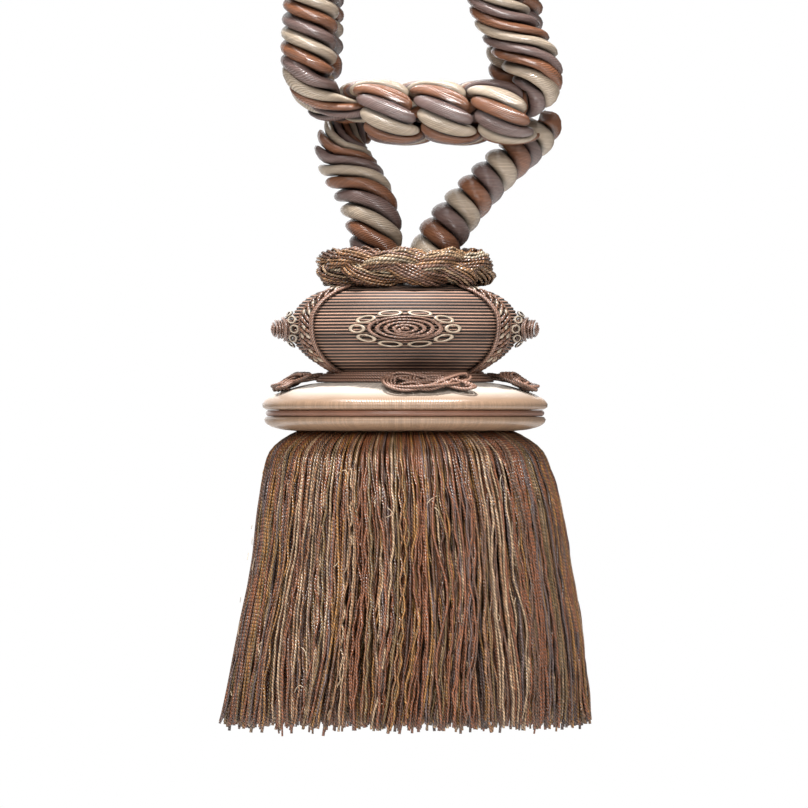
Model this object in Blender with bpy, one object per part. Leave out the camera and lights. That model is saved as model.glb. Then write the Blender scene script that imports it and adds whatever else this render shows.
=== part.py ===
"""A curtain tieback tassel: a double rope loop, a wrapped knot, a covered head and a cut fringe.

Metres, +Z up. The origin is the inner top of the rope loops, where they hang on a hook.
Tables are in millimetres: x to the right, y to the back, and drop downwards from the hook.
"""

import math

import bmesh
import bpy
import numpy as np
from mathutils import Vector

MM = 0.001
UP = (0, 0, 1)
DOWN = (0, 0, -1)
BACKWARDS = (0, 1, 0)
SEAT_GAP = 0.5  # between the ball and what is sewn on its round side

ROPE_LAY = 21.8  # along the rope, for one full turn of its three strands
ROPE_STEPS = 6  # rings for each lay
ROPE_GROOVE = 0.72  # the depth of the groove, as a share of the half width
CUT_REACH = 11.0  # how far from an end the rope turns square to its end face
ROUTE_FINENESS = 40  # places read between two rows of a route's table, before they are evened out

ROUND = 32  # facets round the turned pieces
SMOOTH_ANGLE = 50.0  # faces that meet at less than this are shaded as one
SLOPE_REACH = 1.5  # above and below a place, to read the ball's slope there
BAND_WIDTH_ANGLE = 5.0  # half of a head band's width, in degrees
MEDALLION_HEIGHT = 9.6  # half of a medallion's height
MEDALLION_DROP = 269.0
PETALS = 10
PETAL_CORNERS = 3  # of the outline, for each petal
PETAL_SHARE = 0.9  # rings wider than this share of the outline are petalled
KNOT_WIDTH = 23.5  # half of a collar knot's width
KNOT_CORD = 1.4  # half the thickness of its cord
KNOT_LIFT = 3.1  # how far the cord rises and dips where it crosses itself
KNOT_STEPS = 44  # rings of its cord
# The cord's waves in one round: how many, and the degrees at its start.
KNOT_ASIDE = (2, 45.0)
KNOT_OUTWARDS = (3, 0.0)
KNOT_OVER = (5, 30.0)

# A loop's route, from its left end over the hook to its right end.
LOOP_FRONT = (  # x, drop
    (-48.0, 135.0),
    (-48.0, 128.0),
    (-47.4, 117.0),
    (-46.7, 105.0),
    (-46.5, 94.0),
    (-48.2, 80.2),
    (-52.6, 68.4),
    (-58.3, 48.8),
    (-57.0, 29.0),
    (-48.9, 10.9),
    (-35.2, -3.3),
    (-19.3, -11.4),
    (-1.6, -14.3),
    (16.0, -11.4),
    (31.9, -3.3),
    (45.6, 10.9),
    (53.7, 29.0),
    (55.0, 48.8),
    (49.3, 68.4),
    (44.9, 80.2),
    (43.2, 94.0),
    (45.0, 105.0),
    (49.0, 115.0),
    (55.5, 125.0),
    (62.5, 135.0),
)
LOOP_BACK = (  # x, drop
    (-45.0, 135.0),
    (-45.0, 128.0),
    (-44.8, 117.0),
    (-44.6, 105.0),
    (-45.5, 94.0),
    (-48.2, 80.2),
    (-52.6, 68.4),
    (-56.5, 48.8),
    (-55.2, 29.0),
    (-47.1, 10.9),
    (-33.4, -3.3),
    (-17.5, -11.4),
    (0.2, -14.3),
    (17.8, -11.4),
    (33.7, -3.3),
    (47.4, 10.9),
    (56.0, 29.0),
    (58.5, 48.8),
    (57.2, 68.4),
    (55.6, 80.2),
    (55.0, 94.0),
    (55.0, 105.0),
    (55.0, 115.0),
    (55.0, 125.0),
    (55.0, 135.0),
)
LOOP_HALF = 14.25  # half the rope's width
LOOP_Y = 15.0  # how far the loops lie before and behind the middle

# Where the rope turns into the knot, and its two legs: x, y, drop, half across, half deep.
ROPE_ENDS = {
    "rope_end_front_left": (
        (-48.0, -15.0, 135.3, 14.25, 14.25),
        (-47.2, -14.6, 143.0, 13.2, 13.6),
        (-43.0, -12.6, 150.6, 10.6, 11.8),
        (-36.0, -10.0, 156.6, 7.4, 9.2),
        (-27.0, -8.4, 160.5, 5.6, 7.6),
        (-15.0, -8.1, 161.25, 5.5, 7.4),
        (12.0, -8.1, 161.25, 5.5, 7.4),
    ),
    "rope_end_front_right": (
        (62.5, -15.0, 135.3, 14.25, 14.25),
        (66.2, -14.4, 142.6, 13.0, 13.6),
        (67.0, -12.2, 150.0, 10.6, 11.4),
        (62.2, -9.6, 156.6, 7.6, 8.8),
        (53.5, -8.3, 160.6, 5.7, 7.6),
        (43.0, -8.1, 161.25, 5.5, 7.4),
        (12.3, -8.1, 161.25, 5.5, 7.4),
    ),
    "rope_end_back_left": (
        (-45.0, 15.0, 135.3, 14.25, 14.25),
        (-46.6, 14.4, 142.6, 13.0, 13.4),
        (-47.2, 12.4, 150.4, 9.6, 11.2),
        (-43.4, 9.8, 157.6, 6.6, 8.6),
        (-35.4, 8.4, 161.0, 5.4, 7.5),
        (-26.0, 8.1, 161.25, 5.4, 7.4),
        (12.0, 8.1, 161.25, 5.5, 7.4),
    ),
    "rope_end_back_right": (
        (55.0, 15.0, 135.3, 14.25, 14.25),
        (56.8, 14.6, 141.5, 13.4, 13.6),
        (60.8, 12.4, 149.2, 9.8, 11.4),
        (61.4, 10.2, 156.0, 7.2, 9.2),
        (55.0, 8.5, 160.7, 5.4, 7.6),
        (45.0, 8.1, 161.25, 5.4, 7.4),
        (12.3, 8.1, 161.25, 5.5, 7.4),
    ),
}
LEGS = {
    "rope_leg_left": (
        (-23.2, 22.5, 161.6, 13.4, 5.2),
        (-27.0, 21.6, 167.0, 13.0, 7.2),
        (-31.6, 19.0, 173.6, 12.6, 9.6),
        (-32.4, 15.6, 180.4, 13.2, 11.6),
        (-27.6, 11.0, 190.0, 14.0, 13.4),
        (-21.0, 6.6, 201.0, 14.2, 14.2),
        (-16.6, 3.0, 213.0, 14.2, 14.2),
        (-14.2, 0.8, 225.0, 13.6, 13.8),
        (-11.8, 0.0, 233.0, 11.2, 12.2),
        (-10.8, 0.0, 240.2, 10.3, 11.2),
    ),
    "rope_leg_right": (
        (71.6, 18.0, 162.0, 5.0, 7.0),
        (70.4, 19.2, 166.5, 8.4, 11.0),
        (66.0, 18.8, 172.4, 10.0, 12.8),
        (59.0, 17.0, 179.0, 10.4, 13.4),
        (50.4, 12.0, 186.6, 10.4, 14.0),
        (41.4, 8.8, 195.4, 10.6, 14.2),
        (32.4, 5.8, 205.0, 11.0, 14.2),
        (24.0, 3.0, 215.0, 11.6, 14.2),
        (16.8, 0.8, 225.4, 12.0, 13.6),
        (12.4, 0.0, 233.4, 11.0, 12.2),
        (10.8, 0.0, 240.2, 10.3, 11.2),
    ),
}

WRAPS = {
    "start_x": -23.2,  # behind the knot's left end
    "drop": 161.25,
    "half_deep": 22.5,  # to the middle of the rope
    "half_high": 11.25,
    "pitch": 28.3,
    "turns": 2.74,
    "half_across": 13.45,
    "half_thick": 5.2,
}

# Turned outlines, from the middle of the top to the middle of the foot: radius, drop.
BALL = (
    (22.5, 240.5),
    (22.5, 249.2),
    (36.0, 249.2),
    (45.5, 252.0),
    (53.0, 257.5),
    (56.4, 263.0),
    (57.0, 269.0),
    (55.5, 276.0),
    (48.5, 284.0),
    (38.5, 290.0),
    (34.0, 292.6),
    (31.0, 295.2),
)
DISC = (
    (32.5, 295.5),
    (47.5, 297.0),
    (60.5, 300.5),
    (66.5, 303.0),
    (71.3, 307.0),
    (71.2, 308.6),
    (69.5, 309.7),
    (63.0, 310.0),
    (63.0, 313.0),
    (69.5, 313.4),
    (70.5, 315.0),
    (69.0, 317.0),
    (63.0, 319.4),
    (54.5, 320.5),
)
GROOVE_BAND = ((63.4, 310.4), (67.6, 310.3), (68.5, 311.5), (67.6, 312.7), (63.4, 312.6))

RUFF = {"radius": 34.2, "half_wide": 11.3, "half_high": 9.8, "drop": 239.1, "turns": 4, "steps": 48}
COLLAR = {"radius": 40.6, "half_wide": 3.0, "half_high": 3.0, "drop": 292.8, "turns": 8, "steps": 40}

MEDALLIONS = (  # side, azimuth in degrees from the front, half of its width
    ("front", 0.0, 29.0),
    ("right", 90.0, 26.5),
    ("back", 180.0, 29.0),
    ("left", 270.0, 26.5),
)
MEDALLION_RINGS = (  # share of the outline, height off the ball
    (0.3, 0.7),
    (0.66, 0.2),
    (0.97, 0.0),
    (1.0, 1.6),
    (0.7, 2.4),
    (0.64, 8.4),
    (0.3, 9.3),
)
PETAL_DIP = 0.86  # of the outline, between two petals
BAND_AZIMUTHS = (55.0, 125.0, 235.0, 305.0)
BAND_SECTION = (  # share of its half width, height off the ball
    (-1.0, SEAT_GAP),
    (-1.0, 2.0),
    (-0.5, 1.4),
    (0.0, 1.9),
    (0.5, 1.4),
    (1.0, 2.0),
    (1.0, SEAT_GAP),
)
BAND_DROPS = (250.8, 252.6, 255.0, 257.5, 260.0, 263.0, 269.0, 276.0, 280.0, 284.0, 286.6, 288.6)
COLLAR_KNOTS = (("front", 12.0), ("right", 90.0), ("back", 180.0), ("left", 270.0))
KNOT_INNER = (50.4, 292.0)  # radius and drop of the knot's upper edge
KNOT_OUTER = (66.4, 297.6)  # and of its lower edge

SKIRT_TOP = 320.8
SKIRT_FOOT = 324.6  # of its heading
SKIRT_HEADING_INNER = 30.0
SKIRT_HEADING_OUTER = 54.0
SKIRT_SECTORS = 36
SKIRT_CIRCLES = 3  # of corners between the roots
SKIRT_ROOT = 50.0  # the radius of the outermost roots
SKIRT_EDGE = 2.0  # from a strand's middle to the skirt's outside
SKIRT_LEVELS = (  # drop, the skirt's radius, each strand's share of its root's width and of its depth
    (332.0, 68.0, 0.62, 0.56),
    (356.0, 75.0, 0.66, 0.5),
    (402.0, 81.5, 0.72, 0.5),
    (467.5, 89.0, 0.7, 0.5),
)
STRAND_SWAY = 0.7  # aside, for each level
STRAND_TIP = 3.5  # how far the tips are out of line
# Radians that keep the strands out of step with each other.
SWAY_A_STRAND = 2.4
SWAY_A_LEVEL = 1.7
TIP_A_STRAND = 7.1

COLORS = {  # red, green, blue, roughness
    "rope": (0.30, 0.15, 0.09, 0.45),
    "ruff": (0.33, 0.19, 0.11, 0.5),
    "ball": (0.26, 0.13, 0.09, 0.5),
    "braid": (0.38, 0.24, 0.16, 0.5),
    "flower": (0.42, 0.28, 0.19, 0.5),
    "floss": (0.62, 0.47, 0.33, 0.35),
    "satin": (0.30, 0.14, 0.08, 0.35),
    "fringe": (0.34, 0.19, 0.11, 0.55),
}


def spot(x, y, drop):
    """A place in metres, from millimetres."""
    return Vector((x, y, -drop)) * MM


def round_spot(radius, azimuth, drop):
    """A place at that many degrees from the front, going to the right."""
    turn = math.radians(azimuth)
    return spot(radius * math.sin(turn), -radius * math.cos(turn), drop)


def material(finish):
    found = bpy.data.materials.get(finish)
    if found:
        return found
    made = bpy.data.materials.new(finish)
    made.use_nodes = True
    red, green, blue, rough = COLORS[finish]
    shader = made.node_tree.nodes["Principled BSDF"]
    shader.inputs["Base Color"].default_value = (red, green, blue, 1.0)
    shader.inputs["Roughness"].default_value = rough
    shader.inputs["Metallic"].default_value = 0.0
    made.diffuse_color = (red, green, blue, 1.0)
    return made


def finished(name, solid, finish):
    """The closed solid as a named object, with its faces pointing out."""
    bmesh.ops.recalc_face_normals(solid, faces=solid.faces)
    mesh = bpy.data.meshes.new(name)
    solid.to_mesh(mesh)
    solid.free()
    mesh.shade_smooth()
    mesh.set_sharp_from_angle(angle=math.radians(SMOOTH_ANGLE))
    piece = bpy.data.objects.new(name, mesh)
    piece.data.materials.append(material(finish))
    bpy.context.scene.collection.objects.link(piece)
    return piece


def lofted(name, rings, finish, closed=False):
    """A solid through rings of places. It is capped at both ends, or runs round in a circle."""
    solid = bmesh.new()
    rows = [[solid.verts.new(place) for place in ring] for ring in rings]
    pairs = list(zip(rows, rows[1:]))
    if closed:
        pairs.append((rows[-1], rows[0]))
    else:
        solid.faces.new(rows[0])
        solid.faces.new(reversed(rows[-1]))
    for upper, lower in pairs:
        count = len(upper)
        for i in range(count):
            j = (i + 1) % count
            solid.faces.new((upper[i], lower[i], lower[j], upper[j]))
    return finished(name, solid, finish)


def turned(name, outline, finish, closed=False):
    """A solid turned round the tassel's axis; a closed outline makes a ring."""
    azimuths = [360.0 * i / ROUND for i in range(ROUND)]
    if closed:
        rings = [[round_spot(r, a, d) for r, d in outline] for a in azimuths]
    else:
        rings = [[round_spot(r, a, d) for a in azimuths] for r, d in outline]
    return lofted(name, rings, finish, closed)


def smooth_route(table, step):
    """Rows about a step apart on the smooth curve through a table's rows, and how far along each is."""
    rows = np.array(table, float)
    reach = min(3, rows.shape[1])
    along = np.concatenate([[0], np.cumsum(np.linalg.norm(np.diff(rows[:, :reach], axis=0), axis=1))])
    slope = np.gradient(rows, along, axis=0)
    fine = np.linspace(0, along[-1], ROUTE_FINENESS * len(rows))
    i = np.clip(np.searchsorted(along, fine, side="right") - 1, 0, len(rows) - 2)
    span = (along[i + 1] - along[i])[:, None]
    t = (fine - along[i])[:, None] / span
    curve = (
        (2 * t**3 - 3 * t**2 + 1) * rows[i]
        + (t**3 - 2 * t**2 + t) * span * slope[i]
        + (3 * t**2 - 2 * t**3) * rows[i + 1]
        + (t**3 - t**2) * span * slope[i + 1]
    )
    length = np.concatenate([[0], np.cumsum(np.linalg.norm(np.diff(curve[:, :reach], axis=0), axis=1))])
    even = np.linspace(0, length[-1], max(2, round(length[-1] / step) + 1))
    return np.stack([np.interp(even, length, column) for column in curve.T], axis=1), even


def strand_section(phase):
    """The outline of three twisted strands: shares of the half widths across and deep."""
    points = []
    for k in range(6):
        turn = phase + k * math.pi / 3
        radius = ROPE_GROOVE if k % 2 else 1.0
        points.append((radius * math.cos(turn), radius * math.sin(turn)))
    return points


def rope(name, rows, along, side, cuts):
    """A twisted rope through rows of x, y, drop, half across and half deep.

    Each of the two cuts is the way that the rope runs through its end face, square to it.
    """
    places = [spot(*row[:3]) for row in rows]
    rings = []
    for i, place in enumerate(places):
        before, after = places[max(i - 1, 0)], places[min(i + 1, len(places) - 1)]
        tangent = (after - before).normalized()
        half_across, half_deep = rows[i][3] * MM, rows[i][4] * MM
        square = tangent
        for cut, away in zip(cuts, (along[i], along[-1] - along[i])):
            near = max(0.0, 1.0 - away / CUT_REACH)
            square = square.lerp(Vector(cut), near).normalized()
        half_across /= square.dot(tangent)
        deep = (side - square * side.dot(square)).normalized()
        across = deep.cross(square)
        phase = -2 * math.pi * along[i] / ROPE_LAY
        rings.append(
            [place + across * u * half_across + deep * v * half_deep for u, v in strand_section(phase)]
        )
    return lofted(name, rings, "rope")


def rope_lengths():
    """Both loops, their four ends in the knot, and the two legs."""
    loops = {}
    for name, route, y in (("rope_loop_front", LOOP_FRONT, -LOOP_Y), ("rope_loop_back", LOOP_BACK, LOOP_Y)):
        loops[name] = [(x, y, drop, LOOP_HALF, LOOP_HALF) for x, drop in route]
    for tables, cuts in ((loops, (UP, DOWN)), (ROPE_ENDS, (DOWN, None)), (LEGS, (DOWN, DOWN))):
        for name, table in tables.items():
            rows, along = smooth_route(table, ROPE_LAY / ROPE_STEPS)
            inwards = (math.copysign(1, table[-1][0] - table[-2][0]), 0, 0)
            rope(name, rows, along, Vector(BACKWARDS), (cuts[0], cuts[1] or inwards))


def wrap_lengths():
    """Of the wraps' route: a straight run over the loops, a bend before or behind, and a whole turn."""
    straight = 2 * (WRAPS["half_deep"] - WRAPS["half_high"])
    bend = math.pi * WRAPS["half_high"]
    return straight, bend, 2 * (straight + bend)


def wrap_row(length):
    """The row of the wraps' route at that length: a flat coil, half circles before and behind."""
    straight, bend, round_once = wrap_lengths()
    x = WRAPS["start_x"] + WRAPS["pitch"] * length / round_once
    at = (length + bend / 2) % round_once  # from the foot of the back bend, going up
    if at < bend:
        turn = at / WRAPS["half_high"]
        y, up = straight / 2 + WRAPS["half_high"] * math.sin(turn), -WRAPS["half_high"] * math.cos(turn)
    elif at < bend + straight:
        y, up = straight / 2 - (at - bend), WRAPS["half_high"]
    elif at < 2 * bend + straight:
        turn = (at - bend - straight) / WRAPS["half_high"]
        y, up = -straight / 2 - WRAPS["half_high"] * math.sin(turn), WRAPS["half_high"] * math.cos(turn)
    else:
        y, up = -straight / 2 + (at - 2 * bend - straight), -WRAPS["half_high"]
    return (x, y, WRAPS["drop"] - up, WRAPS["half_thick"], WRAPS["half_across"])


def rope_wraps():
    length = WRAPS["turns"] * wrap_lengths()[-1]
    along = np.linspace(0, length, round(length * ROPE_STEPS / ROPE_LAY))
    rope("rope_wraps", [wrap_row(at) for at in along], along, Vector((1, 0, 0)), (UP, BACKWARDS))


def twisted_ring(name, ring, finish):
    """Three strands twisted round each other, in a ring round the tassel's axis."""
    rings = []
    for i in range(ring["steps"]):
        share = i / ring["steps"]
        places = []
        for wide, high in strand_section(2 * math.pi * ring["turns"] * share):
            radius = ring["radius"] + ring["half_wide"] * wide
            places.append(round_spot(radius, 360 * share, ring["drop"] + ring["half_high"] * high))
        rings.append(places)
    lofted(name, rings, finish, closed=True)


def on_ball(azimuth, drop, height):
    """A place at that height off the ball's round side, which is below its neck."""
    radii, drops = zip(*BALL[2:])
    above, radius, below = np.interp((drop - SLOPE_REACH, drop, drop + SLOPE_REACH), drops, radii)
    rise = (below - above) / (2 * SLOPE_REACH)
    length = math.hypot(1.0, rise)
    return round_spot(radius + height / length, azimuth, drop - height * rise / length)


def head_bands():
    for number, azimuth in enumerate(BAND_AZIMUTHS, 1):
        rings = [
            [on_ball(azimuth + BAND_WIDTH_ANGLE * share, drop, height) for share, height in BAND_SECTION]
            for drop in BAND_DROPS
        ]
        lofted(f"head_band_{number}", rings, "braid")


def medallions():
    """A flower on each side of the ball: a stepped button on ten petals."""
    equator = max(radius for radius, drop in BALL)
    corners = PETAL_CORNERS * PETALS
    for side, azimuth, half_width in MEDALLIONS:
        rings = []
        for share, height in MEDALLION_RINGS:
            ring = []
            for k in range(corners):
                turn = 2 * math.pi * k / corners
                dips = share > PETAL_SHARE and k % PETAL_CORNERS == 0
                edge = share * (PETAL_DIP if dips else 1.0)
                aside = math.degrees(edge * half_width * math.cos(turn) / equator)
                down = edge * MEDALLION_HEIGHT * math.sin(turn)
                ring.append(on_ball(azimuth + aside, MEDALLION_DROP + down, SEAT_GAP + height))
            rings.append(ring)
        lofted(f"medallion_{side}", rings, "flower")


def wave(waves, turn):
    count, start = waves
    return math.sin(count * turn + math.radians(start))


def collar_knots():
    """A flat knot of one endless cord, which crosses over and under itself by turns."""
    corners = [math.radians(45 + 90 * k) for k in range(4)]
    for side, azimuth in COLLAR_KNOTS:
        places = []
        for i in range(KNOT_STEPS):
            turn = 2 * math.pi * i / KNOT_STEPS
            aside = KNOT_WIDTH * wave(KNOT_ASIDE, turn)
            share = (1 + wave(KNOT_OUTWARDS, turn)) / 2
            lift = KNOT_LIFT * wave(KNOT_OVER, turn)
            radius = KNOT_INNER[0] + share * (KNOT_OUTER[0] - KNOT_INNER[0])
            drop = KNOT_INNER[1] + share * (KNOT_OUTER[1] - KNOT_INNER[1]) - lift
            places.append(round_spot(radius, azimuth + math.degrees(aside / radius), drop))
        rings = []
        for i, place in enumerate(places):
            tangent = (places[(i + 1) % KNOT_STEPS] - places[i - 1]).normalized()
            across = tangent.cross(Vector(UP)).normalized()
            deep = tangent.cross(across)
            rings.append(
                [place + (across * math.cos(c) + deep * math.sin(c)) * KNOT_CORD * MM for c in corners]
            )
        lofted(f"collar_knot_{side}", rings, "flower", closed=True)


def draw_strand(solid, face, number):
    """Draws a face of the heading's foot down into a strand, level by level."""
    root = face.calc_center_median()
    corners = [v.co - root for v in face.verts]
    out = Vector((root.x, root.y, 0)).normalized()
    aside = Vector((-out.y, out.x, 0))
    root_radius = math.hypot(root.x, root.y)
    for level, (drop, skirt_radius, width, depth) in enumerate(SKIRT_LEVELS):
        face = bmesh.ops.extrude_discrete_faces(solid, faces=[face])["faces"][0]
        spread = (skirt_radius - SKIRT_EDGE) / SKIRT_ROOT
        sway = STRAND_SWAY * level * math.sin(SWAY_A_STRAND * number + SWAY_A_LEVEL * level)
        tip = STRAND_TIP * math.sin(TIP_A_STRAND * number) if level == len(SKIRT_LEVELS) - 1 else 0.0
        middle = out * root_radius * spread + aside * sway * MM + Vector((0, 0, tip - drop)) * MM
        for vert, corner in zip(face.verts, corners):
            vert.co = middle + aside * corner.dot(aside) * width * spread + out * corner.dot(out) * depth


def skirt():
    """A ring of heading whose foot is cut into triangles, each drawn down into a strand."""
    solid = bmesh.new()
    radii = np.linspace(SKIRT_HEADING_INNER, SKIRT_HEADING_OUTER, SKIRT_CIRCLES)
    foot = [
        [
            solid.verts.new(round_spot(radius, 360 * (i + 0.5 * row) / SKIRT_SECTORS, SKIRT_FOOT))
            for i in range(SKIRT_SECTORS)
        ]
        for row, radius in enumerate(radii)
    ]
    top = [
        [solid.verts.new((v.co.x, v.co.y, -SKIRT_TOP * MM)) for v in row] for row in (foot[0], foot[-1])
    ]
    strands = []
    for i in range(SKIRT_SECTORS):
        j = (i + 1) % SKIRT_SECTORS
        for inner, outer in zip(foot, foot[1:]):
            strands.append(solid.faces.new((inner[i], outer[i], inner[j])))
            strands.append(solid.faces.new((inner[j], outer[i], outer[j])))
        solid.faces.new((foot[0][i], foot[0][j], top[0][j], top[0][i]))
        solid.faces.new((foot[-1][j], foot[-1][i], top[1][i], top[1][j]))
        solid.faces.new((top[0][i], top[0][j], top[1][j], top[1][i]))
    for number, face in enumerate(strands):
        draw_strand(solid, face, number)
    finished("skirt", solid, "fringe")


def build():
    for item in list(bpy.data.objects):
        bpy.data.objects.remove(item)
    rope_lengths()
    rope_wraps()
    twisted_ring("ruff", RUFF, "ruff")
    turned("head_ball", BALL, "ball")
    head_bands()
    medallions()
    twisted_ring("collar_cord", COLLAR, "flower")
    collar_knots()
    turned("disc", DISC, "floss")
    turned("groove_band", GROOVE_BAND, "satin", closed=True)
    skirt()


build()
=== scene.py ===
"""The looks of a curtain tieback tassel, built round its solids.

Metres, +Z up. The tassel hangs from the origin, and its front faces -Y. Tables are in
millimetres: x to the right, y to the back, and drop downwards from the hook.
"""

import math

import bmesh
import bpy
import numpy as np
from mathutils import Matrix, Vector


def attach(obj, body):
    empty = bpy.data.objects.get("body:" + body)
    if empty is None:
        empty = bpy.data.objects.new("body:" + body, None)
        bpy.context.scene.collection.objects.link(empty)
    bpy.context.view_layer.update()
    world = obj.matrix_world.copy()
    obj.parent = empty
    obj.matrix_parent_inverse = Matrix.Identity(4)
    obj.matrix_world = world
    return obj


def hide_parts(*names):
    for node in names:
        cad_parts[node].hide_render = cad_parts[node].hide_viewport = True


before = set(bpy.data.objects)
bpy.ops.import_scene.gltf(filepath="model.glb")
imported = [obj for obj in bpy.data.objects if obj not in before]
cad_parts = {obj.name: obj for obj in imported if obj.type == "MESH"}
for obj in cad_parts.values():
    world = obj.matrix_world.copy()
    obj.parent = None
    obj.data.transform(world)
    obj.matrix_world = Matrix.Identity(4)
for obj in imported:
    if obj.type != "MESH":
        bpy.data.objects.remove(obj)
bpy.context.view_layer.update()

MM = 0.001
FRONT_TO_BACK = (0.0, 1.0, 0.0)
LEFT_TO_RIGHT = (1.0, 0.0, 0.0)
UPWARDS = (0.0, 0.0, 1.0)
SEAM = 1e-6  # places closer than this are one
CURVE_READS = 40  # for each row of a table, before the places are spaced evenly

# Colours as they look in even light: red, green and blue from 0 to 255.
DYES = {
    "mauve": (122, 98, 92),
    "copper": (140, 90, 62),
    "cream": (192, 172, 150),
    "rust": (152, 92, 58),
    "gold": (178, 124, 64),
    "ash": (122, 98, 92),
    "beige": (200, 164, 128),
    "olive": (140, 108, 66),
    "walnut": (98, 62, 44),
    "chestnut": (132, 92, 68),
    "rose": (162, 122, 102),
    "blush": (184, 142, 119),
    "ivory": (212, 190, 160),
    "tan": (166, 118, 80),
    "straw": (184, 138, 98),
    # The next two dyes are one floss, in painted light on the disc's top and in painted shade at its lip.
    "floss": (250, 238, 224),
    "shaded lip": (170, 138, 112),
    "satin brown": (150, 104, 82),
    "floor": (236, 235, 233),
}

# ---------------------------------------------------------------- rope sizes

ROPE_LAY = 21.8  # along the rope, for one full turn of its three strands
RINGS_A_LAY = 24
STRANDS = 3
STRAND_COLUMNS = 17  # round a strand
STRAND_MIDDLE = 0.54  # of the rope's half width
STRAND_REACH = 0.46
STRAND_HALF = 0.97  # half a strand's thickness along the rope, as a share of its room
STRAND_FULLNESS = 0.88  # below 1 its section is squarer than an ellipse
STRAND_WAY = 0.8  # of the rope's half width, where the threads' way along a strand is measured
CAP_ANGLE = 65  # degrees between a strand's side and its end, which are shaded apart
LOOP_HALF = 14.25  # half the rope's width
LOOP_Y = 15.0  # how far the loops lie before and behind the middle

LOOP_FRONT = (  # x, drop: from the left end over the hook to the right end
    (-48.0, 135.0),
    (-48.0, 128.0),
    (-47.4, 117.0),
    (-46.7, 105.0),
    (-46.5, 94.0),
    (-48.2, 80.2),
    (-52.6, 68.4),
    (-58.3, 48.8),
    (-57.0, 29.0),
    (-48.9, 10.9),
    (-35.2, -3.3),
    (-19.3, -11.4),
    (-1.6, -14.3),
    (16.0, -11.4),
    (31.9, -3.3),
    (45.6, 10.9),
    (53.7, 29.0),
    (55.0, 48.8),
    (49.3, 68.4),
    (44.9, 80.2),
    (43.2, 94.0),
    (45.0, 105.0),
    (49.0, 115.0),
    (55.5, 125.0),
    (62.5, 135.0),
)
LOOP_BACK = (  # x, drop
    (-45.0, 135.0),
    (-45.0, 128.0),
    (-44.8, 117.0),
    (-44.6, 105.0),
    (-45.5, 94.0),
    (-48.2, 80.2),
    (-52.6, 68.4),
    (-56.5, 48.8),
    (-55.2, 29.0),
    (-47.1, 10.9),
    (-33.4, -3.3),
    (-17.5, -11.4),
    (0.2, -14.3),
    (17.8, -11.4),
    (33.7, -3.3),
    (47.4, 10.9),
    (56.0, 29.0),
    (58.5, 48.8),
    (57.2, 68.4),
    (55.6, 80.2),
    (55.0, 94.0),
    (55.0, 105.0),
    (55.0, 115.0),
    (55.0, 125.0),
    (55.0, 135.0),
)
# Where the rope turns into the knot, and its two legs: x, y, drop, half across, half deep.
ROPE_ENDS = {
    "rope_end_front_left": (
        (-47.2, -14.6, 143.0, 13.2, 13.6),
        (-43.0, -12.6, 150.6, 10.6, 11.8),
        (-36.0, -10.0, 156.6, 7.4, 9.2),
        (-27.0, -8.4, 160.5, 5.6, 7.6),
        (-15.0, -8.1, 161.25, 5.5, 7.4),
        (12.0, -8.1, 161.25, 5.5, 7.4),
    ),
    "rope_end_front_right": (
        (66.2, -14.4, 142.6, 13.0, 13.6),
        (67.0, -12.2, 150.0, 10.6, 11.4),
        (62.2, -9.6, 156.6, 7.6, 8.8),
        (53.5, -8.3, 160.6, 5.7, 7.6),
        (43.0, -8.1, 161.25, 5.5, 7.4),
        (12.3, -8.1, 161.25, 5.5, 7.4),
    ),
    "rope_end_back_left": (
        (-46.6, 14.4, 142.6, 13.0, 13.4),
        (-47.2, 12.4, 150.4, 9.6, 11.2),
        (-43.4, 9.8, 157.6, 6.6, 8.6),
        (-35.4, 8.4, 161.0, 5.4, 7.5),
        (-26.0, 8.1, 161.25, 5.4, 7.4),
        (12.0, 8.1, 161.25, 5.5, 7.4),
    ),
    "rope_end_back_right": (
        (56.8, 14.6, 141.5, 13.4, 13.6),
        (60.8, 12.4, 149.2, 9.8, 11.4),
        (61.4, 10.2, 156.0, 7.2, 9.2),
        (55.0, 8.5, 160.7, 5.4, 7.6),
        (45.0, 8.1, 161.25, 5.4, 7.4),
        (12.3, 8.1, 161.25, 5.5, 7.4),
    ),
}
LEGS = {
    "rope_leg_left": (
        (-23.2, 22.5, 161.6, 13.4, 5.2),
        (-27.0, 21.6, 167.0, 13.0, 7.2),
        (-31.6, 19.0, 173.6, 12.6, 9.6),
        (-32.4, 15.6, 180.4, 13.2, 11.6),
        (-27.6, 11.0, 190.0, 14.0, 13.4),
        (-21.0, 6.6, 201.0, 14.2, 14.2),
        (-16.6, 3.0, 213.0, 14.2, 14.2),
        (-14.2, 0.8, 225.0, 13.6, 13.8),
        (-11.8, 0.0, 233.0, 11.2, 12.2),
        (-10.8, 0.0, 240.2, 10.3, 11.2),
    ),
    "rope_leg_right": (
        (68.6, 19.0, 160.6, 2.0, 3.0),
        (71.0, 19.2, 165.0, 7.4, 9.6),
        (66.0, 18.8, 172.4, 10.0, 12.8),
        (59.0, 17.0, 179.0, 10.4, 13.4),
        (50.4, 12.0, 186.6, 10.4, 14.0),
        (41.4, 8.8, 195.4, 10.6, 14.2),
        (32.4, 5.8, 205.0, 11.0, 14.2),
        (24.0, 3.0, 215.0, 11.6, 14.2),
        (16.8, 0.8, 225.4, 12.0, 13.6),
        (12.4, 0.0, 233.4, 11.0, 12.2),
        (10.8, 0.0, 240.2, 10.3, 11.2),
    ),
}
WRAPS = {
    "start_x": -23.2,  # behind the knot's left end
    "drop": 161.25,
    "half_deep": 22.5,  # to the middle of the rope
    "half_high": 11.25,
    "pitch": 28.3,
    "turns": 2.74,
    "half_across": 13.45,
    "half_thick": 5.2,
}
WRAP_STRAIGHT = 2 * (WRAPS["half_deep"] - WRAPS["half_high"])  # one level run, over or under
WRAP_BEND = math.pi * WRAPS["half_high"]
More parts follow.
